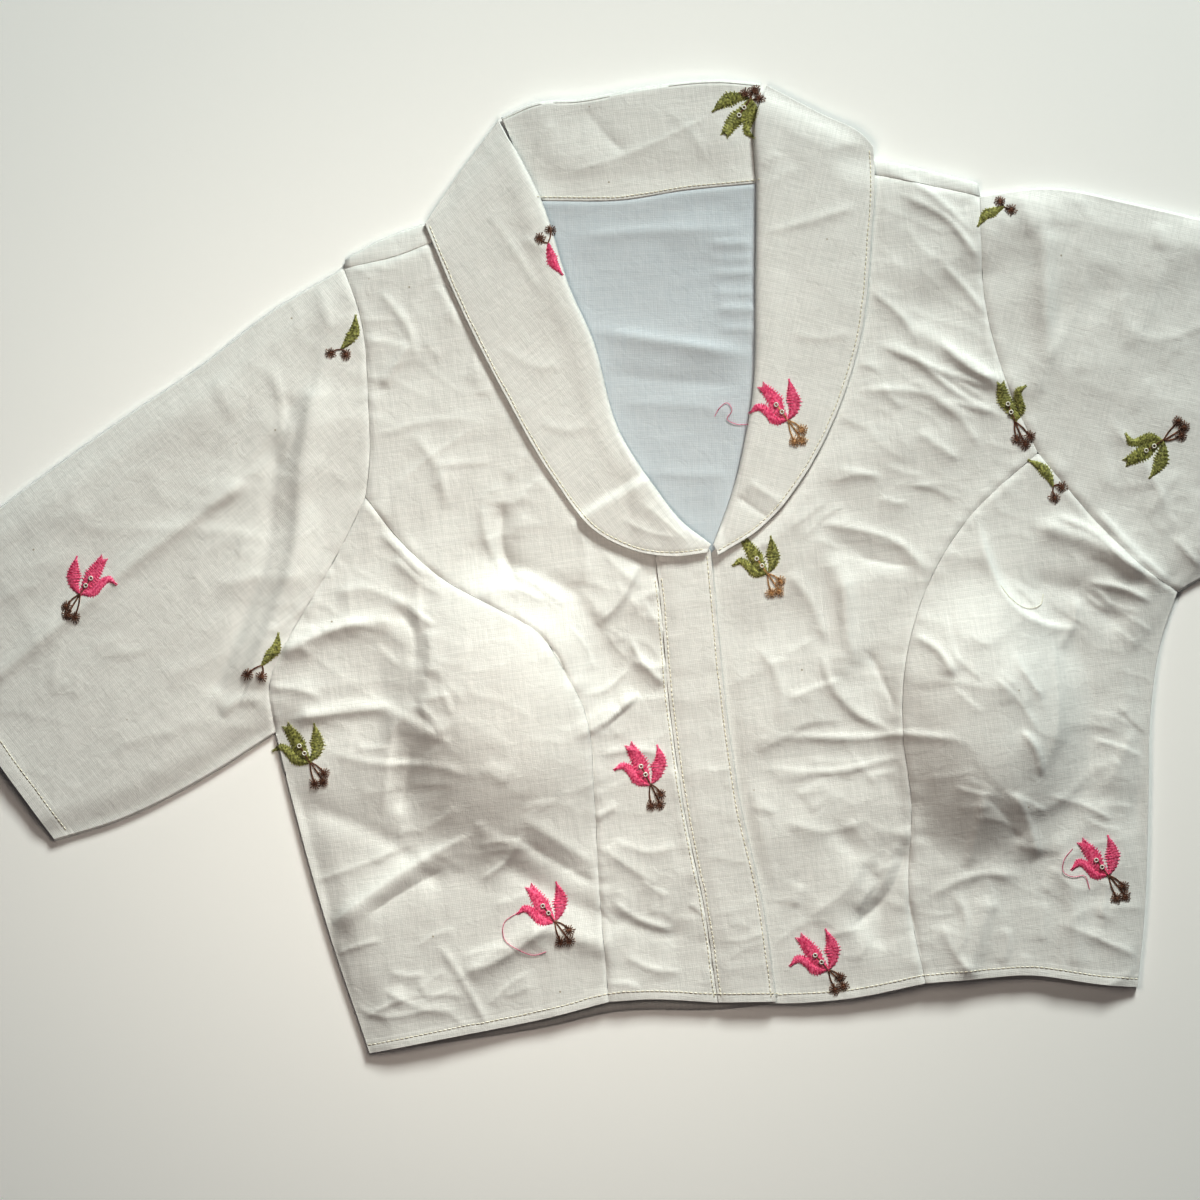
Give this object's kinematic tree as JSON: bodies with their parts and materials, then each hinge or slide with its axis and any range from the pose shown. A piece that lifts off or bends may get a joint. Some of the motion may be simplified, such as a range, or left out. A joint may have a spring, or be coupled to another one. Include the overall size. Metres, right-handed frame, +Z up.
{
  "type": "choli blouse",
  "caption": "Choli blouse laid flat with its front up: shawl collar, elbow sleeves, padded princess-seamed front and a stitched front band.",
  "frame": {"origin": "middle of the blouse's bounding box, on the surface that it lies on", "axes": "+X to the wearer's left, across both sleeves; +Y from the hem to the collar; +Z up from the surface, out of the front"},
  "size_m": [0.8418, 0.4768, 0.023],
  "materials": {
    "ivory_cotton": "matt plain-woven ivory cotton with a faint slub",
    "white_lining": "matt thin white lining cotton",
    "sewing_thread": "ivory sewing thread",
    "embroidery_pink": "pink rayon embroidery thread with a soft gloss",
    "embroidery_green": "olive green rayon embroidery thread with a soft gloss",
    "embroidery_brown": "brown rayon embroidery thread with a soft gloss",
    "white_bead": "small glossy white bead"
  },
  "bodies": {
    "root": {"back_panel": "ivory_cotton", "back_lining": "white_lining", "front_right_centre": "ivory_cotton", "front_right_side": "ivory_cotton", "front_left_centre": "ivory_cotton", "front_left_side": "ivory_cotton", "front_placket": "ivory_cotton", "collar_back": "ivory_cotton", "collar_right": "ivory_cotton", "collar_left": "ivory_cotton", "sleeve_right": "ivory_cotton", "sleeve_left": "ivory_cotton"}
  },
  "joints": []
}
